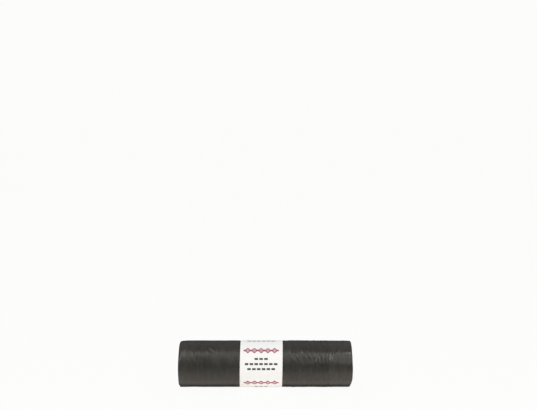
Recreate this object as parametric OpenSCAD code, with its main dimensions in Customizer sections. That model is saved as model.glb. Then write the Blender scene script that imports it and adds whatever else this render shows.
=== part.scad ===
// Roll of black bin bags lying on its side, held by a paper band.
// The roll lies along X, its front faces -Y, and it rests on the plane Z = 0.
// The origin is the middle of the roll's footprint.

/* [Roll of bags] */
// Length of the roll, which is the width of a bag folded in three
roll_len = 334; // [240:1:480]
// Diameter of the wound film
roll_d = 90; // [60:1:130]
// Width of the flat spot that the soft roll lies on
flat_w = 18; // [8:1:24]
// Radius of the rounded rim at both ends
rim_r = 4.5; // [2:0.5:8]
// Height of the step at the free edge of the outermost bag
edge_step = 0.3; // [0.2:0.1:1]
// Place of the free edge, in degrees from straight down towards the back
edge_turn = 60; // [30:5:80]
// Distance from the right end to the line where the bag is folded over
fold_from_end = 46; // [20:1:70]
// Height of the step at that fold line
fold_step = 0.35; // [0.2:0.05:0.8]
// Height of the creases in the outermost bag
crease_h = 0.6; // [0.3:0.1:1.2]
// Width of those creases
crease_w = 7; // [4:0.5:10]

/* [Ends of the roll] */
// Distance from one turn to the next
turn_pitch = 3; // [2.2:0.2:5]
// Width of the groove between two turns
turn_gap = 1; // [0.6:0.1:1.4]
// Depth of that groove
turn_depth = 1.8; // [1:0.1:3]
// Width of the flattened eye in the middle of the roll
eye_w = 15.6; // [12:0.2:24]
// Height of that eye
eye_h = 9; // [8:0.2:11]
// Film between the eye and the first turn that can be seen
eye_wall = 2.2; // [1:0.2:5]
// How far the turns are pushed in at the lower right
skew = 4.5; // [1:0.5:8]
// Height over which they are pushed in
skew_h = 14; // [8:1:24]

/* [Paper band] */
// Width of the band
band_w = 81; // [40:1:130]
// Distance of the band's middle from the middle of the roll
band_shift = -8; // [-20:1:20]
// Thickness of the paper
paper_t = 0.25; // [0.15:0.05:0.5]
// Clearance between the paper and the film
band_fit = 0.1; // [0.05:0.05:0.3]
// Length of the glued overlap, round the roll
lap_len = 15; // [8:1:25]
// Place of the overlap, in degrees from straight down towards the back
lap_turn = 48; // [30:2:60]

/* [Hidden] */
$fn = 72;

roll_r = roll_d / 2;
half_len = roll_len / 2;
axis_h = sqrt(roll_r * roll_r - flat_w * flat_w / 4);
top_h = axis_h + roll_r;
beyond = 20;

// The eye is where two round arcs cross
eye_r = (eye_w * eye_w + eye_h * eye_h) / (4 * eye_h);
bore_r = eye_h / 3;

// Turns at the ends, counted from the eye out to the rim
first_turn_r = eye_w / 2 + eye_wall;
turn_count = floor((roll_r - rim_r * 0.8 - first_turn_r) / turn_pitch) + 1;

fold_x = half_len - fold_from_end;
skew_angle = atan(skew / skew_h);
rim_steps = 6;

// Band and the waist that it presses into the film
band_left = band_shift - band_w / 2;
band_right = band_shift + band_w / 2;
band_r = roll_r - edge_step;
waist_r = band_r - paper_t - band_fit;
waist_gap = 0.3;

// Creases: side of the band, share of the way to the end, place round the roll
// in degrees from straight down towards the back, and length in degrees
CREASES = [
    [-1, 0.48, 203, 62],
    [-1, 0.37, 230, 50],
    [-1, 0.20, 285, 50],
    [-1, 0.86, 120, 80],
    [1, 0.15, 236, 60],
    [1, 0.50, 241, 66],
    [1, 0.71, 240, 56],
    [1, 0.36, 130, 70],
];

// Points of an arc from angle a0 to a1
function arc(cx, cy, r, a0, a1, steps) =
    [for (i = [0:steps]) let (a = a0 + (a1 - a0) * i / steps) [cx + r * cos(a), cy + r * sin(a)]];

// Half section of the film, from the bore out to radius r
function film_section(r) = concat(
    [[bore_r, half_len], [bore_r, -half_len]],
    arc(r - rim_r, -half_len + rim_r, rim_r, -90, 0, rim_steps),
    [[r, fold_x], [r - fold_step, fold_x]],
    arc(r - fold_step - rim_r, half_len - rim_r, rim_r, 0, 90, rim_steps)
);

// Puts what stands on Z onto the roll's axis, turned towards the back by an angle
module on_axis(turn) {
    translate([0, 0, axis_h])
        rotate([0, 90, 0])
            rotate([0, 0, turn])
                children();
}

// A spiral made of half turns: the first is centred on the axis, and the
// second is shifted by half the step, so that they meet flush on one side
module half_turns(step) {
    children(0);
    translate([-step / 2, 0, 0])
        rotate([0, 0, 180])
            children(1);
}

// Film wound up tight, its free edge standing out by one step
module wound_film() {
    on_axis(edge_turn)
        half_turns(edge_step) {
            rotate_extrude(angle = 180) polygon(film_section(roll_r));
            rotate_extrude(angle = 180) polygon(film_section(roll_r - edge_step / 2));
        }
}

// Groove of one half turn in the right end, at radius r
module turn_groove(r) {
    flank = turn_gap / 2;
    rotate_extrude(angle = 180)
        polygon([
            [r - flank, half_len + flank],
            [r, half_len - turn_depth],
            [r + flank, half_len + flank],
        ]);
}

// All the grooves between the turns at one end
module end_grooves(side) {
    on_axis(edge_turn)
        mirror([0, 0, side < 0 ? 1 : 0])
            for (i = [0:turn_count - 1]) {
                r = first_turn_r + i * turn_pitch;
                half_turns(turn_pitch) {
                    turn_groove(r);
                    turn_groove(r - turn_pitch / 2);
                }
            }
}

// Flattened eye that is left where the winding started
module eye() {
    rise = eye_r - eye_h / 2;
    on_axis(0)
        intersection() {
            translate([rise, 0, -half_len - beyond])
                cylinder(h = roll_len + 2 * beyond, r = eye_r);
            translate([-rise, 0, -half_len - beyond])
                cylinder(h = roll_len + 2 * beyond, r = eye_r);
        }
}

// Crease round part of the film: a disc with a sharp rim, set off the axis so
// that it only stands out over the crease's length
module crease(x, turn, length) {
    off = crease_h / (1 - cos(length / 2));
    crest_r = roll_r + crease_h - off;
    foot_r = crest_r - 2 * crease_h;
    on_axis(turn)
        translate([off, 0, x]) {
            cylinder(h = crease_w / 2, r1 = crest_r, r2 = foot_r);
            mirror([0, 0, 1])
                cylinder(h = crease_w / 2, r1 = crest_r, r2 = foot_r);
        }
}

module creases() {
    for (c = CREASES) {
        from = c[0] < 0 ? band_left : band_right;
        to = c[0] * (half_len - rim_r);
        crease(from + (to - from) * c[1], c[2], c[3]);
    }
}

// Space of the band round the film, outside the waist
module band_space() {
    length = band_w + 2 * waist_gap;
    difference() {
        translate([band_left - waist_gap, -roll_r - beyond, -beyond])
            cube([length, 2 * roll_r + 2 * beyond, top_h + 2 * beyond]);
        intersection() {
            on_axis(0)
                translate([0, 0, band_left - beyond])
                    cylinder(h = band_w + 2 * beyond, r = waist_r);
            translate([band_left - beyond, -roll_r, paper_t + band_fit])
                cube([band_w + 2 * beyond, roll_d, top_h]);
        }
    }
}

// What the pushed-in turns leave free, low at the right end
module skew_cut() {
    translate([half_len, 0, skew_h])
        rotate([0, skew_angle, 0])
            translate([0, -roll_r, -2 * skew_h])
                cube([beyond, roll_d, 2 * skew_h]);
}

// Everything below the surface that the roll lies on
module ground() {
    translate([-half_len - beyond, -roll_r - beyond, -2 * beyond])
        cube([roll_len + 2 * beyond, roll_d + 2 * beyond, 2 * beyond]);
}

module bag_roll() {
    color("#2b2a28")
        difference() {
            union() {
                wound_film();
                creases();
            }
            eye();
            end_grooves(1);
            end_grooves(-1);
            band_space();
            skew_cut();
            ground();
        }
}

// Band of paper round the film, glued where its ends overlap
module paper_band() {
    lap_angle = lap_len / band_r * 180 / PI;
    color("#f7f5ee")
        union() {
            difference() {
                on_axis(0)
                    translate([0, 0, band_left])
                        cylinder(h = band_w, r = band_r);
                intersection() {
                    on_axis(0)
                        translate([0, 0, band_left - beyond])
                            cylinder(h = band_w + 2 * beyond, r = band_r - paper_t);
                    translate([band_left - beyond, -roll_r, paper_t])
                        cube([band_w + 2 * beyond, roll_d, top_h]);
                }
                ground();
            }
            on_axis(lap_turn)
                translate([0, 0, band_left])
                    rotate_extrude(angle = lap_angle)
                        translate([band_r - paper_t / 2, 0])
                            square([paper_t * 1.5, band_w]);
        }
}

bag_roll();
paper_band();
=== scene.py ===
import math
import random

import bmesh
import bpy
from mathutils import Matrix, Vector, noise


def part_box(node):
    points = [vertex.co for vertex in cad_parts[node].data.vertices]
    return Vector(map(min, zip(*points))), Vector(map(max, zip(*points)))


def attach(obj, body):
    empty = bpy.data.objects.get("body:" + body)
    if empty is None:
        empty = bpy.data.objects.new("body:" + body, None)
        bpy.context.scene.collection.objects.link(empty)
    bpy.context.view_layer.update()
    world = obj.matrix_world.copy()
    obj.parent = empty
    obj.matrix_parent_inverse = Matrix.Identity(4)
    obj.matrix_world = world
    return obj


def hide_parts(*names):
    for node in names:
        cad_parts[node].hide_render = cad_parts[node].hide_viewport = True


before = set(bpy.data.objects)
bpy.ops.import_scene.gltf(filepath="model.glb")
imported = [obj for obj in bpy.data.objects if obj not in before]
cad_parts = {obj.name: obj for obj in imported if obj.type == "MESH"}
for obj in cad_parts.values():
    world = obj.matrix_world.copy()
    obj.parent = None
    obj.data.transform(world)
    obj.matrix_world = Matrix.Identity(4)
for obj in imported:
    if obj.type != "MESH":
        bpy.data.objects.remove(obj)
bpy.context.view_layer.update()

# The wound bags: black polyethylene film, each bag folded in three across its width, all
# wound up tight on a spindle that was drawn out again. The outermost bag ends in a free
# edge at the lower back, and its thin film is creased where it was pulled tight.

_, ROLL_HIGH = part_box("bag_roll")
BAND_LOW, BAND_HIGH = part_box("paper_band")

# The roll, in metres. Angles round it count from straight down towards the back. It lies
# on a flat spot, and beside that spot, by the cosine of the angle, its film is pressed even.
HALF_LEN = ROLL_HIGH[0]
ROLL_R = 0.045
FLAT_W = 0.018
AXIS_H = math.sqrt(ROLL_R**2 - FLAT_W**2 / 4)
PRESSED = (0.72, 0.2)

# The free edge: a step in the film, which lifts by more and less along the roll.
EDGE_STEP = 0.0003
EDGE_TURN = math.radians(60)
EDGE_LIFT, LIFT_WAVE, LIFT_WAVES = 0.00024, 0.00016, 120
LIFT_REACH = 0.12

# The line where the bag is folded over: a step down with a groove beside it.
FOLD_X = HALF_LEN - 0.046
FOLD_STEP, FOLD_STEP_W = 0.00035, 0.0008
FOLD_GROOVE, FOLD_GROOVE_W = 0.0006, 0.0010
FOLD_WAVER = 0.0004

# The waist that the paper band presses into the film, and the shoulders beside it.
PAPER_T = 0.00025
BAND_FIT = 0.0001
BAND_OUTER_R = ROLL_R - EDGE_STEP
WAIST_R = BAND_OUTER_R - PAPER_T - BAND_FIT
SHOULDER = 0.003

# The two ends, left (-1) and right (1): a taper next to each, a rounded rim, turns that
# are pushed in low at the right, and a small lean at the top.
END_REACH = 0.022
END_TAPER = {-1: 0.00119, 1: 0.00042}
RIM_R = 0.0045
RIM_POWER = {-1: 2.0, 1: 3.4}
RIM_FOOT = [math.radians(a) for a in (6, 13, 20, 27, 34)]
SKEW, SKEW_H = 0.0038, 0.022
END_LEAN, LEAN_FROM = 0.0010, 0.035
END_BED, EYE_BED = 0.0002, 0.0008

# The turns that show at the ends, and the flattened eye that they start from.
FIRST_TURN_R, LAST_TURN_R = 0.0084, ROLL_R - 0.0012
TURN_PITCH = 0.0015
LINES_IN_TURN = (0.0, 0.16, 0.34, 0.66, 0.84)
GROOVE_DEPTH, GROOVE_W = 0.0011, 0.15
TURN_CROWN, TURN_UNEVEN, TURN_WANDER = 0.00025, 0.0004, 0.00045
WANDER_FROM, WANDER_TO = (0.009, 0.006), (0.039, 0.004)
EYE_W, EYE_H = 0.0156, 0.009
EYE_ARC_R = (EYE_W**2 + EYE_H**2) / (4 * EYE_H)
EYE_MEAN_R, EYE_BLEND = 0.006, 0.009
EYE_SUNK = (0, 0.004, 0.06)

# Fine relief of the film: how high each kind of ripple is, and its size along and round
# the roll. The film is taut at the left, looser at the right, and calm at its right rim.
DENT, DENT_SIZE = 0.00030, (0.022, 0.016)
STREAK, STREAK_SIZE = 0.00013, (0.0042, 0.028)
CROSS, CROSS_SIZE = 0.00018, (0.0085, 0.020)
DRIFT, DRIFT_SIZE = 0.010, (0.03, 0.024)
RIPPLE_BED = 0.00016
LOOSE_LEFT, LOOSE_FROM, LOOSE_OVER = 0.12, 0.025, 0.02
TAUT_AGAIN, TAUT_FROM, TAUT_OVER = 0.6, FOLD_X + 0.008, 0.01
CALM, CALM_FROM, CALM_OVER = 0.8, 0.148, 0.008

# Creases where the outermost bag was pulled tight: place along the roll, place round it in
# degrees, length in degrees, height, half width, and how far the crease drifts along the
# roll for each radian of its length.
PULLED_CREASES = [
    (-0.1604, 260, 96, 0.00022, 0.0028, 0.000),
    (-0.1520, 230, 50, 0.00048, 0.0050, 0.010),
    (-0.1470, 120, 80, 0.00050, 0.0026, 0.004),
    (-0.1376, 238, 32, 0.00056, 0.0032, 0.004),
    (-0.1230, 226, 36, 0.00016, 0.0030, -0.012),
    (-0.1080, 229, 22, 0.00030, 0.0040, 0.010),
    (-0.1030, 197, 17, 0.00070, 0.0056, 0.000),
    (-0.1015, 219.5, 17, 0.00075, 0.0046, 0.060),
    (-0.0912, 221, 34, 0.00085, 0.0026, 0.011),
    (-0.0800, 228, 30, 0.00024, 0.0034, 0.010),
    (-0.0700, 285, 50, 0.00025, 0.0040, 0.006),
    (0.0400, 236, 40, 0.00024, 0.0040, 0.000),
    (0.0500, 233, 42, 0.00070, 0.0030, 0.014),
    (0.0640, 246, 40, 0.00032, 0.0022, 0.024),
    (0.0740, 234, 26, 0.00050, 0.0020, 0.020),
    (0.0835, 233, 34, 0.00050, 0.0021, 0.014),
    (0.0950, 238, 48, 0.00060, 0.0019, 0.001),
    (0.1016, 238, 50, 0.00058, 0.0018, 0.000),
    (0.1090, 237, 24, 0.00048, 0.0018, 0.004),
    (0.1160, 246, 40, 0.00036, 0.0018, -0.006),
    (0.1251, 246, 58, 0.00108, 0.0031, -0.002),
    (0.1277, 247, 34, 0.00038, 0.0025, 0.000),
    (0.1322, 233, 16, 0.00036, 0.0024, -0.040),
    (0.1480, 238, 40, 0.00014, 0.0034, 0.014),
    (0.1590, 292, 56, 0.00040, 0.0017, 0.000),
    (0.1586, 276, 40, 0.00080, 0.0034, 0.000),
    (0.0800, 130, 70, 0.00050, 0.0026, 0.004),
]
CREASE_BED = 0.0003
CREASE_ENDS = 1.8

# Shallow creases all round, more of them on the right, where the film is looser: the
# stretch of the roll, their number, their least and greatest height and half width.
SHALLOW_CREASES = [
    (-0.160, -0.050, 30, 0.00004, 0.00011, 0.0014, 0.0050),
    (0.035, 0.120, 62, 0.00008, 0.00024, 0.0014, 0.0026),
    (0.126, 0.160, 12, 0.00005, 0.00016, 0.0014, 0.0040),
]
SHALLOW_LENGTH = (24, 80)
SHALLOW_DRIFT = 0.010
SHALLOW_SEED = 11

# Points of the mesh: steps round the roll, with more points on both sides of the free
# edge (in radians from it), and steps along it, which are long under the paper.
STEPS_ROUND = 153
PAST_EDGE = [0.0, 0.012, 0.028, 0.046]
BEFORE_EDGE = [0.006, 0.0012]
EVEN_PAST_EDGE, EVEN_BEFORE_EDGE = 0.075, 0.02
FINE_STEP, COARSE_STEP, HIDDEN_STEP = 0.0007, 0.0013, 0.01
FINE_AT_LEFT = 0.009
UNDER_PAPER, HIDDEN_FROM = 0.001, 0.006


def shallow_creases():
    draw = random.Random(SHALLOW_SEED)
    creases = []
    for low, high, count, least, most, narrowest, widest in SHALLOW_CREASES:
        for _ in range(count):
            place, turn = draw.uniform(low, high), draw.uniform(0, 360)
            length, height = draw.uniform(*SHALLOW_LENGTH), draw.uniform(least, most)
            wide, drift = draw.uniform(narrowest, widest), draw.gauss(0, SHALLOW_DRIFT)
            creases.append((place, turn, length, height, wide, drift))
    return creases


CREASES = PULLED_CREASES + shallow_creases()


def fade(value, start, over):
    """Rises smoothly from 0 at the start to 1, over a given distance."""
    t = min(max((value - start) / over, 0.0), 1.0)
    return t * t * (3 - 2 * t)


def spread(first, last, count):
    """Values from the first to the last, an even step apart."""
    return [first + (last - first) * i / count for i in range(count + 1)]


def even_steps(first, last, step):
    return spread(first, last, round((last - first) / step))


def wound_radius(turn):
    """Outer radius of the even film: half a turn round, then half a turn a step lower."""
    past_edge = (turn - EDGE_TURN) % (2 * math.pi)
    if past_edge < math.pi:
        return ROLL_R
    shift = EDGE_STEP / 2
    inner = ROLL_R - shift
    return -shift * math.cos(past_edge) + math.sqrt(inner**2 - (shift * math.sin(past_edge)) ** 2)


def eye_radius(turn):
    """Edge of the flattened eye, where two round arcs meet at its left and right."""
    rise = EYE_ARC_R - EYE_H / 2
    up = abs(math.cos(turn))
    return -up * rise + math.sqrt(EYE_ARC_R**2 - rise**2 * (1 - up * up))


def ripple(x, y, z, size, layer):
    """Noise on the film's surface, of a given size along and round the roll."""
    along, around = size
    return noise.noise(Vector((x / along, y / around, z / around + layer)))


def noise_round(turn, fineness, layer, shift=0):
    """Noise that runs on smoothly all round the roll, another one for each layer."""
    down, back = fineness * math.cos(turn), fineness * math.sin(turn)
    return noise.noise(Vector((layer, down, back + shift)))


def crinkle(x, turn):
    """How far the film stands out from the even roll at a place on its side."""
    y, z = ROLL_R * math.sin(turn), -ROLL_R * math.cos(turn)
    drift = DRIFT * ripple(x, y, z, DRIFT_SIZE, 0)
    dent = ripple(x, y, z, DENT_SIZE, 5)
    streak = 1 - abs(2 * ripple(x + drift, y, z, STREAK_SIZE, 3))
    cross = 1 - abs(2 * ripple(x - 3 * drift, y, z, CROSS_SIZE, 11))
    loose = LOOSE_LEFT + (1 - LOOSE_LEFT) * fade(x, LOOSE_FROM, LOOSE_OVER)
    loose -= TAUT_AGAIN * fade(x, TAUT_FROM, TAUT_OVER)
    calm = 1 - CALM * fade(x, CALM_FROM, CALM_OVER)
    return DENT * calm * dent + loose * (STREAK * streak + CROSS * cross - RIPPLE_BED)


def creases_near(x):
    """The creases that reach a ring of the barrel, with their angles in radians."""
    near = []
    for place, turn, length, height, wide, drift in CREASES:
        if abs(x - place) < wide + abs(drift) * math.radians(length) / 2:
            near.append((place, math.radians(turn), math.radians(length), height, wide, drift))
    return near


def crease_height(x, turn, near):
    """Height of the creases at a place: sharp crests that run out towards their ends."""
    total = 0.0
    for place, middle, length, height, wide, drift in near:
        off = (turn - middle + math.pi) % (2 * math.pi) - math.pi
        across = abs(x - place - drift * off) / wide
        if abs(off) < length / 2 and across < 1:
            full = min(1.0, CREASE_ENDS * math.cos(math.pi * off / length))
            total += height * full * (1 - across)
    return total


def side_place(x, turn, near):
    """Distance from the roll's axis to the film's surface, along the barrel."""
    unpressed = 1 - fade(math.cos(turn), *PRESSED)
    fold = FOLD_X + FOLD_WAVER * math.sin(3 * turn)
    near_end = fade(abs(x), HALF_LEN - END_REACH, END_REACH)
    past_edge = (turn - EDGE_TURN) % (2 * math.pi)
    r = wound_radius(turn)
    r -= unpressed * FOLD_STEP * fade(x, fold - FOLD_STEP_W / 2, FOLD_STEP_W)
    r -= FOLD_GROOVE * (1 - fade(abs(x - fold), 0, FOLD_GROOVE_W))
    r -= unpressed * END_TAPER[1 if x > 0 else -1] * near_end**2
    r += (EDGE_LIFT + LIFT_WAVE * math.sin(LIFT_WAVES * x)) * (1 - fade(past_edge, 0, LIFT_REACH))
    r += crinkle(x, turn) + crease_height(x, turn, near) - CREASE_BED
    shoulder = fade(-x, -BAND_LOW[0], SHOULDER) + fade(x, BAND_HIGH[0], SHOULDER)
    return WAIST_R + shoulder * (r - WAIST_R)


def end_shift(side, z):
    """How far the turns lie back from a flat end: a little at the top, and low at the right."""
    lean = END_LEAN * max(0.0, z - LEAN_FROM) / (2 * AXIS_H - LEAN_FROM)
    return lean + (SKEW * max(0.0, 1 - z / SKEW_H) if side > 0 else 0.0)


def point(x, r, turn):
    """A point of the film, kept above the floor and inside the roll's box at the back."""
    z = max(AXIS_H - r * math.cos(turn), 0.0)
    return [x, min(r * math.sin(turn), ROLL_HIGH[1]), z]


def turn_stations():
    """Angles of the points round the roll, from the free edge once round to it again."""
    full = 2 * math.pi
    even = spread(EVEN_PAST_EDGE, full - EVEN_BEFORE_EDGE, STEPS_ROUND)
    return [EDGE_TURN + t for t in PAST_EDGE + even + [full - t for t in BEFORE_EDGE]]


def side_stations():
    """Places of the rings along the barrel, between its two rims."""
    coarse = -HALF_LEN + FINE_AT_LEFT
    left = even_steps(-HALF_LEN + RIM_R, coarse, FINE_STEP)[:-1]
    left += even_steps(coarse, BAND_LOW[0] + UNDER_PAPER, COARSE_STEP)
    hidden = even_steps(BAND_LOW[0] + HIDDEN_FROM, BAND_HIGH[0] - HIDDEN_FROM, HIDDEN_STEP)
    right = even_steps(BAND_HIGH[0] - UNDER_PAPER, HALF_LEN - RIM_R, FINE_STEP)
    beside_fold = (-FOLD_GROOVE_W, -FOLD_STEP_W / 2, 0, FOLD_STEP_W / 2, FOLD_GROOVE_W)
    return sorted(left + hidden + right + [FOLD_X + offset for offset in beside_fold])


def side_ring(x, turns):
    """One ring of the barrel, which shares in the shift of an end that is near."""
    ring = []
    near = creases_near(x)
    near_end = max(0.0, (abs(x) - HALF_LEN + END_REACH) / END_REACH)
    for turn in turns:
        at = point(x, side_place(x, turn, near), turn)
        at[0] -= math.copysign(end_shift(x, at[2]) * near_end**2, x)
        ring.append(at)
    return ring


def rim_drop(side, over):
    """How far the end falls back where a turn lies over the rounded rim."""
    power = RIM_POWER[side]
    return RIM_R - max(RIM_R**power - max(over, 0.0) ** power, 0.0) ** (1 / power)


def rim_ring(side, angle, turns):
    """One ring on the foot of the rounded rim, under the outermost bag."""
    ring = []
    at_side = side * (HALF_LEN - RIM_R)
    near = creases_near(at_side)
    power = 2 / RIM_POWER[side]
    back = END_BED + RIM_R * (1 - math.sin(angle) ** power)
    for turn in turns:
        r = side_place(at_side, turn, near) - RIM_R * (1 - math.cos(angle) ** power)
        at = point(0, r, turn)
        at[0] = side * (HALF_LEN - back - end_shift(side, at[2]))
        ring.append(at)
    return ring


def eye_ring(side, sunk, turns):
    """One ring of the eye's wall, at the end or sunk into it."""
    ring = []
    for turn in turns:
        at = point(0, eye_radius(turn), turn)
        at[0] = side * (HALF_LEN - EYE_BED - sunk - end_shift(side, at[2]))
        ring.append(at)
    return ring


def spiral_line(side, count, turns):
    """One line of the wound end: it runs once round and ends a turn further in."""
    line = []
    share = count % 1.0
    groove = GROOVE_DEPTH * math.exp(-((min(share, 1 - share) / GROOVE_W) ** 2))
    crown = TURN_CROWN * (2 * share - 1) ** 2
    for turn in turns:
        r = FIRST_TURN_R + TURN_PITCH * (count - (turn - EDGE_TURN) / (2 * math.pi))
        free = fade(r, *WANDER_FROM) * (1 - fade(r, *WANDER_TO))
        r += TURN_WANDER * free * noise_round(turn, 1.6, count / 3, 9 * side)
        to_eye = (eye_radius(turn) - EYE_MEAN_R) * (1 - fade(r, EYE_MEAN_R, EYE_BLEND))
        drop = rim_drop(side, r - side_place(side * (HALF_LEN - RIM_R), turn, []) + RIM_R)
        uneven = noise_round(turn, 2.5, math.floor(count) * 1.7)
        deep = (groove + crown + TURN_UNEVEN * (0.5 + uneven)) * (1 - drop / RIM_R)
        at = point(0, r + to_eye, turn)
        at[0] = side * (HALF_LEN - END_BED - drop - deep - end_shift(side, at[2]))
        line.append(at)
    return line


def smooth_piece(mesh, sharp_from):
    """An object of the mesh's own name, smooth but for edges sharper than an angle."""
    mesh.polygons.foreach_set("use_smooth", [True] * len(mesh.polygons))
    mesh.set_sharp_from_angle(angle=math.radians(sharp_from))
    piece = bpy.data.objects.new(mesh.name, mesh)
    bpy.context.scene.collection.objects.link(piece)
    return piece


def wound_bags():
    """The whole roll as one closed skin: the barrel, two wound ends, and the eye's wall."""
    turns = turn_stations()
    n = len(turns)
    points, faces = [], []

    def add(ring):
        points.extend(ring)
        return range(len(points) - n, len(points))

    def join(first, second, whole=True):
        for j in range(n if whole else n - 1):
            k = (j + 1) % n
            faces.append((first[j], first[k], second[k], second[j]))

    def wind(side, inner, outer):
        """Fills one end between the eye and the rim with turns that run in one spiral."""
        count = math.floor((LAST_TURN_R - FIRST_TURN_R) / TURN_PITCH)
        steps = [turn + part for turn in range(count) for part in LINES_IN_TURN] + [count]
        lines = [add(spiral_line(side, step, turns)) for step in steps]
        back = len(LINES_IN_TURN)
        first, last = lines[0], lines[-1]
        for low, high in zip([inner] + lines, lines + [outer]):
            join(low, high, whole=False)
        # At the free edge, each line runs on into the line one turn further in.
        for i in range(back, len(lines) - 1):
            low, high = lines[i - back], lines[i - back + 1]
            faces.append((lines[i][-1], low[0], high[0], lines[i + 1][-1]))
        # The first turn starts at the eye, and the last one ends at the rim.
        faces.append((inner[-1], inner[0], first[0], first[-1]))
        faces.append((last[-1], last[0], outer[0], outer[-1]))
        for i in range(back):
            faces.append((first[0], lines[i + 1][-1], lines[i][-1]))
            faces.append((last[-1], lines[i - back - 1][0], lines[i - back][0]))

    barrel = [add(rim_ring(-1, a, turns)) for a in reversed(RIM_FOOT)]
    barrel += [add(side_ring(x, turns)) for x in side_stations()]
    barrel += [add(rim_ring(1, a, turns)) for a in RIM_FOOT]
    eye = [add(eye_ring(-1, sunk, turns)) for sunk in EYE_SUNK]
    eye += [add(eye_ring(1, sunk, turns)) for sunk in reversed(EYE_SUNK)]
    for rings in (barrel, eye):
        for first, second in zip(rings, rings[1:]):
            join(first, second)
    wind(-1, eye[0], barrel[0])
    wind(1, eye[-1], barrel[-1])
    mesh = bpy.data.meshes.new("wound_bags")
    mesh.from_pydata(points, [], faces)
    skin = bmesh.new()
    skin.from_mesh(mesh)
    bmesh.ops.recalc_face_normals(skin, faces=skin.faces)
    skin.to_mesh(mesh)
    skin.free()
    return smooth_piece(mesh, sharp_from=55)


def new_material(name):
    """A material with its node tree and its shader."""
    material = bpy.data.materials.new(name)
    material.use_nodes = True
    return material, material.node_tree, material.node_tree.nodes["Principled BSDF"]


def feed(tree, value, socket):
    """Gives a socket a plain value, or the output of another node."""
    if isinstance(value, bpy.types.NodeSocket):
        tree.links.new(value, socket)
    else:
        socket.default_value = value


def math_node(tree, operation, *values):
    node = tree.nodes.new("ShaderNodeMath")
    node.operation = operation
    for value, socket in zip(values, node.inputs):
        feed(tree, value, socket)
    return node.outputs[0]


def between(tree, value, low, high, first, last):
    """Turns a value from low to high into one from first to last."""
    node = tree.nodes.new("ShaderNodeMapRange")
    feed(tree, value, node.inputs["Value"])
    for name, limit in (("From Min", low), ("From Max", high), ("To Min", first), ("To Max", last)):
        node.inputs[name].default_value = limit
    return node.outputs["Result"]


def colours_along(tree, value, stops):
    """Colours that follow a value, each from its own place between 0 and 1."""
    node = tree.nodes.new("ShaderNodeValToRGB")
    ramp = node.color_ramp.elements
    ramp[0].position, ramp[0].color = stops[0]
    ramp[1].position, ramp[1].color = stops[-1]
    for place, colour in stops[1:-1]:
        ramp.new(place).color = colour
    feed(tree, value, node.inputs["Fac"])
    return node.outputs["Color"]


def bump(tree, height, depth, strength, below=None):
    """Fine relief in the surface, on top of any coarser relief below it."""
    node = tree.nodes.new("ShaderNodeBump")
    node.inputs["Distance"].default_value = depth
    feed(tree, strength, node.inputs["Strength"])
    feed(tree, height, node.inputs["Height"])
    if below:
        feed(tree, below, node.inputs["Normal"])
    return node.outputs["Normal"]


FILM_DARK, FILM_PALE = (0.024, 0.0223, 0.0196, 1), (0.037, 0.0352, 0.0312, 1)
# How much paler the film's colour is made past the fold and at the left end: painted sheen, for the
# brighter look these parts have under the lamps.
SHEEN_PAINTED_PAST_FOLD, SHEEN_PAINTED_AT_LEFT = 1.22, 1.16
# Roughness of the film from its left end (0) to its right end (1)
FILM_ROUGHNESS = [
    (0.0, 0.20), (0.015, 0.21), (0.026, 0.36), (0.05, 0.36), (0.10, 0.28), (0.29, 0.33),
    (0.56, 0.34), (0.74, 0.27), (0.858, 0.20), (0.866, 0.15), (0.888, 0.15), (0.902, 0.22),
    (1.0, 0.19),
]


def film_material():
    """Satin black film: streaks of pulled plastic, and fine crinkles that run round the roll."""
    material, tree, shader = new_material("black_film")
    shader.inputs["IOR"].default_value = 1.5
    place = tree.nodes.new("ShaderNodeTexCoord")
    parts = tree.nodes.new("ShaderNodeSeparateXYZ")
    tree.links.new(place.outputs["Object"], parts.inputs["Vector"])
    x = parts.outputs["X"]

    def cloud(stretch, size, detail, rough=0.5):
        """Noise that is drawn out round the roll by being narrow along it."""
        mapping = tree.nodes.new("ShaderNodeMapping")
        mapping.inputs["Scale"].default_value = (stretch, 1, 1)
        tree.links.new(place.outputs["Object"], mapping.inputs["Vector"])
        texture = tree.nodes.new("ShaderNodeTexNoise")
        texture.inputs["Scale"].default_value = size
        texture.inputs["Detail"].default_value = detail
        texture.inputs["Roughness"].default_value = rough
        tree.links.new(mapping.outputs["Vector"], texture.inputs["Vector"])
        return texture.outputs["Fac"]

    tint = colours_along(tree, cloud(3, 60, 4), [(0.3, FILM_DARK), (0.75, FILM_PALE)])
    # Painted sheen: the film's colour is made paler past the fold and near the left end.
    past_fold = between(tree, x, FOLD_X - 0.002, FOLD_X + 0.002, 1.0, SHEEN_PAINTED_PAST_FOLD)
    at_left = between(tree, x, -0.158, -0.130, SHEEN_PAINTED_AT_LEFT, 1.0)
    painted_sheen = tree.nodes.new("ShaderNodeVectorMath")
    painted_sheen.operation = "SCALE"
    tree.links.new(tint, painted_sheen.inputs[0])
    tree.links.new(math_node(tree, "MULTIPLY", past_fold, at_left), painted_sheen.inputs["Scale"])
    tree.links.new(painted_sheen.outputs["Vector"], shader.inputs["Base Color"])

    along = between(tree, x, -HALF_LEN, HALF_LEN, 0.0, 1.0)
    stops = [(at, (level, level, level, 1)) for at, level in FILM_ROUGHNESS]
    cloudy = between(tree, cloud(2, 40, 3), 0.3, 0.7, -0.04, 0.05)
    rough = math_node(tree, "ADD", colours_along(tree, along, stops), cloudy)
    tree.links.new(rough, shader.inputs["Roughness"])

    looser = between(tree, x, -0.02, 0.05, 0.35, 0.6)
    pulled = bump(tree, cloud(9, 55, 4, 0.55), 0.00022, looser)
    hairline = bump(tree, cloud(10, 140, 2), 0.00004, looser, pulled)
    grain = bump(tree, cloud(1, 900, 2), 0.0001, 0.12, hairline)
    tree.links.new(grain, shader.inputs["Normal"])
    return material


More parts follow.
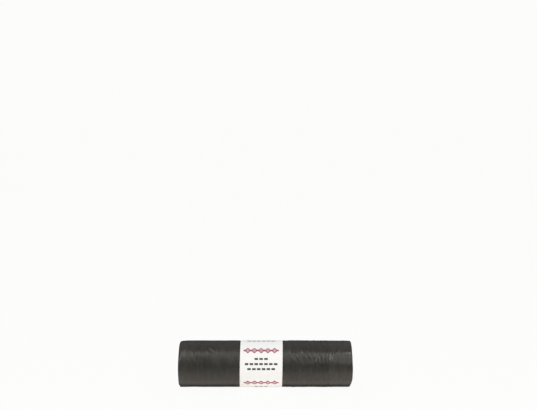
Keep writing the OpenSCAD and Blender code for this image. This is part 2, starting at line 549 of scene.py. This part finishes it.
bags = wound_bags()
bags.data.materials.append(film_material())
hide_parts("bag_roll")
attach(bags, "root")

# The paper band: one strip of coated white label paper, printed with a plain repeating
# pattern, wrapped once round the roll and glued where its ends overlap at the back.

LAP_FROM, LAP_TO, LAP_RISE = math.radians(46), math.radians(67), math.radians(4)
PAPER_EDGE = math.radians(0.3)
BAND_MIDDLE = (BAND_LOW[0] + BAND_HIGH[0]) / 2
BAND_LEAN = 0.0007
PAPER_WAVE, PAPER_WAVE_LEN = 0.00005, 0.02
STEPS_ACROSS, STEPS_TO_LAP, STEPS_PAST_LAP = 40, 32, 140


def band_ring(x, inner, turns):
    """One ring round the roll on the paper's outer or inner face."""
    ring = []
    for turn in turns:
        r = BAND_OUTER_R + PAPER_WAVE * noise_round(turn, 2.2, x / PAPER_WAVE_LEN)
        if inner:
            r -= PAPER_T
        elif turn <= LAP_TO:
            r += PAPER_T * fade(turn, LAP_FROM, LAP_RISE)
        z = max(AXIS_H - r * math.cos(turn), PAPER_T if inner else 0.0)
        lean = BAND_LEAN * (z - AXIS_H) / ROLL_R
        ring.append([x + lean, r * math.sin(turn), z])
    return ring


def paper_band():
    """The strip as one closed skin, with a sharp step where its upper end lies on top."""
    turns = spread(0, LAP_TO, STEPS_TO_LAP) + [LAP_TO + PAPER_EDGE]
    turns += spread(LAP_TO, 2 * math.pi, STEPS_PAST_LAP)[1:-1]
    across = spread(BAND_LOW[0], BAND_HIGH[0], STEPS_ACROSS)
    rings = [band_ring(x, False, turns) for x in across]
    rings += [band_ring(x, True, turns) for x in reversed(across)]
    points = [p for ring in rings for p in ring]
    n, count = len(turns), len(rings)
    faces = []
    for i in range(count):
        a, b = i * n, (i + 1) % count * n
        for j in range(n):
            k = (j + 1) % n
            faces.append((a + j, a + k, b + k, b + j))
    mesh = bpy.data.meshes.new("paper_band_strip")
    mesh.from_pydata(points, [], faces)
    return smooth_piece(mesh, sharp_from=30)


def mixed_colour(tree, share, below, above):
    node = tree.nodes.new("ShaderNodeMix")
    node.data_type = "RGBA"
    feed(tree, share, node.inputs["Factor"])
    feed(tree, below, node.inputs["A"])
    feed(tree, above, node.inputs["B"])
    return node.outputs["Result"]


# The print: its colours, the angle after which its rows come again, and the rows at their
# angles above the middle of the front. Dashes are given by row and number, and diamonds
# by number, outer and inner size.
PAPER_DARK, PAPER_PALE = (0.87, 0.872, 0.875, 1), (0.91, 0.912, 0.92, 1)
CRIMSON, GREY = (0.30, 0.012, 0.075, 1), (0.075, 0.08, 0.08, 1)
PRINT_PITCH = math.radians(87.4)
DIAMOND_ROW, DIAMOND_SPACING = 47.5, 0.0128
DIAMONDS = [(5, 0.0064, 0.0032), (5, 0.0017, 0.0), (6, 0.0024, 0.0)]
DASHES = [(25.2, 3), (12.7, 7), (0.5, 6)]
DASH_SPACING, DASH_LENGTH, DASH_HEIGHT = 0.0092, 0.0068, 0.0040


def paper_material():
    """White coated paper, printed with a row of diamonds and three rows of plain dashes."""
    material, tree, shader = new_material("band_paper")
    shader.inputs["Roughness"].default_value = 0.5
    shader.inputs["IOR"].default_value = 1.45
    place = tree.nodes.new("ShaderNodeTexCoord")
    parts = tree.nodes.new("ShaderNodeSeparateXYZ")
    tree.links.new(place.outputs["Object"], parts.inputs["Vector"])

    def calc(operation, *values):
        return math_node(tree, operation, *values)

    along = calc("SUBTRACT", parts.outputs["X"], BAND_MIDDLE)
    up = calc("SUBTRACT", parts.outputs["Z"], AXIS_H)
    front = calc("MULTIPLY", parts.outputs["Y"], -1.0)
    free_edge = 1.5 * math.pi - LAP_TO
    climb = calc("WRAP", calc("ARCTAN2", up, front), free_edge - 2 * math.pi, free_edge)

    def row(degrees):
        """Distance round the roll from a row of the print, which repeats along the strip."""
        off = calc("SUBTRACT", climb, math.radians(degrees))
        return calc("MULTIPLY", calc("WRAP", off, -PRINT_PITCH / 2, PRINT_PITCH / 2), ROLL_R)

    def spaced(count, spacing):
        """Distance along the roll from the nearest of some marks centred on the band."""
        moved = calc("ADD", along, 0.0 if count % 2 else spacing / 2)
        return calc("ABSOLUTE", calc("WRAP", moved, -spacing / 2, spacing / 2))

    def dashes(degrees, count):
        reach = calc("COMPARE", along, 0.0, count * DASH_SPACING / 2)
        inside = calc("LESS_THAN", spaced(count, DASH_SPACING), DASH_LENGTH / 2)
        upright = calc("COMPARE", row(degrees), 0.0, DASH_HEIGHT / 2)
        return calc("MULTIPLY", reach, calc("MULTIPLY", inside, upright))

    def diamonds(count, outer, inner):
        reach = calc("COMPARE", along, 0.0, count * DIAMOND_SPACING / 2)
        out = calc("ADD", spaced(count, DIAMOND_SPACING), calc("ABSOLUTE", row(DIAMOND_ROW)))
        ring = calc("COMPARE", out, (outer + inner) / 2, (outer - inner) / 2)
        return calc("MULTIPLY", reach, ring)

    fibre = tree.nodes.new("ShaderNodeTexNoise")
    fibre.inputs["Scale"].default_value = 900
    fibre.inputs["Detail"].default_value = 4
    tree.links.new(place.outputs["Object"], fibre.inputs["Vector"])
    colour = colours_along(tree, fibre.outputs["Fac"], [(0.0, PAPER_DARK), (1.0, PAPER_PALE)])
    for count, outer, inner in DIAMONDS:
        colour = mixed_colour(tree, diamonds(count, outer, inner), colour, CRIMSON)
    for degrees, count in DASHES:
        colour = mixed_colour(tree, dashes(degrees, count), colour, GREY)
    tree.links.new(colour, shader.inputs["Base Color"])
    tree.links.new(bump(tree, fibre.outputs["Fac"], 0.0001, 0.06), shader.inputs["Normal"])
    return material


band = paper_band()
band.data.materials.append(paper_material())
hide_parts("paper_band")
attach(band, "root")

# The studio: a white floor without a horizon, soft light from above and in front, and a
# pale surround that is dimmer overhead and behind the camera, as a real room is.

FLOOR_REACH = 40.0
FLOOR_COLOUR, FLOOR_SEEN = (0.95, 0.92, 0.86, 1), (0.985, 0.985, 0.98, 1)
FLOOR_BOUNCE = (1.0, 0.965, 0.91, 1)
# A painted pool of light on the floor, which only the film's gloss sees: how bright the floor glows
# at each distance in metres from under the roll, dark at the foot as a painted shadow. Past the
# roll's two ends, a distance counts for less.
SHADOW_PAINTED_AT_FOOT = (0.021, (0.06, 0.055, 0.05, 1))
POOL = [(0.032, 1.0), (0.06, 0.93), (0.08, 0.78), (0.15, 0.20), (0.27, 0.05), (1.0, 0.03)]
POOL_SHAPE = (0.35, 1, 1)

corners = [(-FLOOR_REACH, -FLOOR_REACH, 0), (FLOOR_REACH, -FLOOR_REACH, 0)]
corners += [(FLOOR_REACH, FLOOR_REACH, 0), (-FLOOR_REACH, FLOOR_REACH, 0)]
floor_mesh = bpy.data.meshes.new("studio_floor")
floor_mesh.from_pydata(corners, [], [(0, 1, 2, 3)])
floor = bpy.data.objects.new("studio_floor", floor_mesh)
bpy.context.scene.collection.objects.link(floor)


def vector_node(tree, operation, *values):
    node = tree.nodes.new("ShaderNodeVectorMath")
    node.operation = operation
    for value, socket in zip(values, node.inputs):
        feed(tree, value, socket)
    return node.outputs["Value" if operation == "LENGTH" else "Vector"]


def lit(tree, kind, colour, strength):
    """A plain light of one colour and strength, on a surface or from the world."""
    node = tree.nodes.new(kind)
    feed(tree, colour, node.inputs["Color"])
    feed(tree, strength, node.inputs["Strength"])
    return node.outputs[0]


def mixed_shader(tree, share, below, above):
    node = tree.nodes.new("ShaderNodeMixShader")
    feed(tree, share, node.inputs["Fac"])
    tree.links.new(below, node.inputs[1])
    tree.links.new(above, node.inputs[2])
    return node.outputs["Shader"]


def floor_material():
    """Warm white paper: white to the camera, and in the film a painted pool of light, brightest
    beside the roll, with a painted shadow under it.
    """
    material, tree, shader = new_material("white_floor")
    shader.inputs["Base Color"].default_value = FLOOR_COLOUR
    shader.inputs["Roughness"].default_value = 0.9

    place = tree.nodes.new("ShaderNodeTexCoord")
    from_middle = vector_node(tree, "ABSOLUTE", place.outputs["Object"])
    beyond = vector_node(tree, "SUBTRACT", from_middle, (HALF_LEN, 0, 0))
    beyond = vector_node(tree, "MAXIMUM", beyond)
    away = vector_node(tree, "LENGTH", vector_node(tree, "MULTIPLY", beyond, POOL_SHAPE))
    stops = [(at, (level, 0.91 * level, 0.82 * level, 1)) for at, level in POOL]
    # Painted pool of light with a painted shadow at its foot, which glows only for glossy rays.
    pool = colours_along(tree, away, [SHADOW_PAINTED_AT_FOOT] + stops)

    path = tree.nodes.new("ShaderNodeLightPath")
    seen = shader.outputs["BSDF"]
    for ray, amount, colour, strength in (
        ("Is Glossy Ray", 0.8, pool, 1.15),
        ("Is Diffuse Ray", 0.55, FLOOR_BOUNCE, 1.5),
        ("Is Camera Ray", 0.96, FLOOR_SEEN, 1.0),
    ):
        share = math_node(tree, "MULTIPLY", path.outputs[ray], amount)
        seen = mixed_shader(tree, share, seen, lit(tree, "ShaderNodeEmission", colour, strength))
    tree.links.new(seen, tree.nodes["Material Output"].inputs["Surface"])
    return material


floor_mesh.materials.append(floor_material())

# The surround: what lights the roll, what its gloss mirrors, and what the camera sees.
# Both of the first two change from in front of the roll (0) to behind it (1).
ROOM_LIGHT, ROOM_FRONT, ROOM_BACK = (0.985, 0.99, 1.0, 1), 0.34, 0.98
ROOM_SEEN = (0.975, 0.972, 0.965, 1)
ROOM_MIRRORED = [
    (0.0, (0.08, 0.08, 0.078, 1)), (0.07, (0.16, 0.16, 0.155, 1)),
    (0.8, (0.34, 0.335, 0.32, 1)), (1.0, (0.08, 0.08, 0.08, 1)),
]
WALL_FROM, WALL_TO, WALL_COLOUR = 0.72, 0.88, (1, 1, 1, 1)

world = bpy.data.worlds.new("studio_surround")
bpy.context.scene.world = world
world.use_nodes = True
surround = world.node_tree
surround.nodes.remove(surround.nodes["Background"])
direction = surround.nodes.new("ShaderNodeTexCoord")
parts = surround.nodes.new("ShaderNodeSeparateXYZ")
surround.links.new(direction.outputs["Generated"], parts.inputs["Vector"])
behind = between(surround, parts.outputs["Y"], -1.0, 1.0, 0.0, 1.0)
level = between(surround, behind, 0.0, 1.0, ROOM_FRONT, ROOM_BACK)
room = lit(surround, "ShaderNodeBackground", ROOM_LIGHT, level)
sideways = math_node(surround, "ABSOLUTE", parts.outputs["X"])
wall = between(surround, sideways, WALL_FROM, WALL_TO, 0.0, 1.0)
shade = mixed_colour(surround, wall, colours_along(surround, behind, ROOM_MIRRORED), WALL_COLOUR)
mirrored = lit(surround, "ShaderNodeBackground", shade, 1.0)
white = lit(surround, "ShaderNodeBackground", ROOM_SEEN, 1.0)
path = surround.nodes.new("ShaderNodeLightPath")
either = (path.outputs["Is Glossy Ray"], path.outputs["Is Transmission Ray"])
seen = mixed_shader(surround, math_node(surround, "MAXIMUM", *either), room, mirrored)
seen = mixed_shader(surround, path.outputs["Is Camera Ray"], seen, white)
surround.links.new(seen, surround.nodes["World Output"].inputs["Surface"])

LAMP_COLOUR = (1.0, 0.985, 0.94)


def softbox(name, side, lift, away, size, power):
    """A soft lamp that faces the roll, at angles from the front in degrees and a distance."""
    side, lift = math.radians(side), math.radians(lift)
    level = math.cos(lift)
    toward = Vector((math.sin(side) * level, -math.cos(side) * level, math.sin(lift)))
    place = Matrix.Translation(Vector((0, 0, AXIS_H)) + away * toward)
    light = bpy.data.lights.new(name, "AREA")
    light.shape = "RECTANGLE"
    light.size, light.size_y = size
    light.energy = power
    light.color = LAMP_COLOUR
    lamp = bpy.data.objects.new(name, light)
    lamp.matrix_world = place @ toward.to_track_quat("Z", "Y").to_matrix().to_4x4()
    lamp.visible_camera = False
    bpy.context.scene.collection.objects.link(lamp)


softbox("overhead_softbox", 3, 58, 1.7, (1.15, 0.74), 2.8)
softbox("front_softbox", 14, 31, 1.9, (1.0, 1.1), 2.9)
softbox("left_strip", -42, 45, 1.9, (0.26, 1.75), 7.0)
softbox("right_strip", 41, 43, 1.9, (0.20, 1.75), 5.6)

# The camera: a long lens at the photograph's height, aimed above the roll, so that the
# roll lies low in the frame. The lens's length and the place of the roll's axis in the
# frame are in pixels.

FRAME_W, FRAME_H = 537, 410
SENSOR_W = 36
LENS_PX = 1044.5
DISTANCE = 2.05
ELEVATION = math.radians(14)
ROLL_PX = (265.4, 363.58)

below_axis = math.atan((ROLL_PX[1] - FRAME_H / 2) / LENS_PX)
depth = DISTANCE * math.cos(below_axis)
aside = (FRAME_W / 2 - ROLL_PX[0]) / LENS_PX * depth
height = AXIS_H + DISTANCE * math.sin(ELEVATION)
view = bpy.data.cameras.new("camera")
view.sensor_width = SENSOR_W
view.lens = SENSOR_W * LENS_PX / FRAME_W
camera = bpy.data.objects.new("camera", view)
camera.location = (aside, -DISTANCE * math.cos(ELEVATION), height)
camera.rotation_euler = (math.pi / 2 - (ELEVATION - below_axis), 0, 0)
bpy.context.scene.collection.objects.link(camera)
bpy.context.scene.camera = camera

bpy.context.scene.view_settings.view_transform = "Standard"
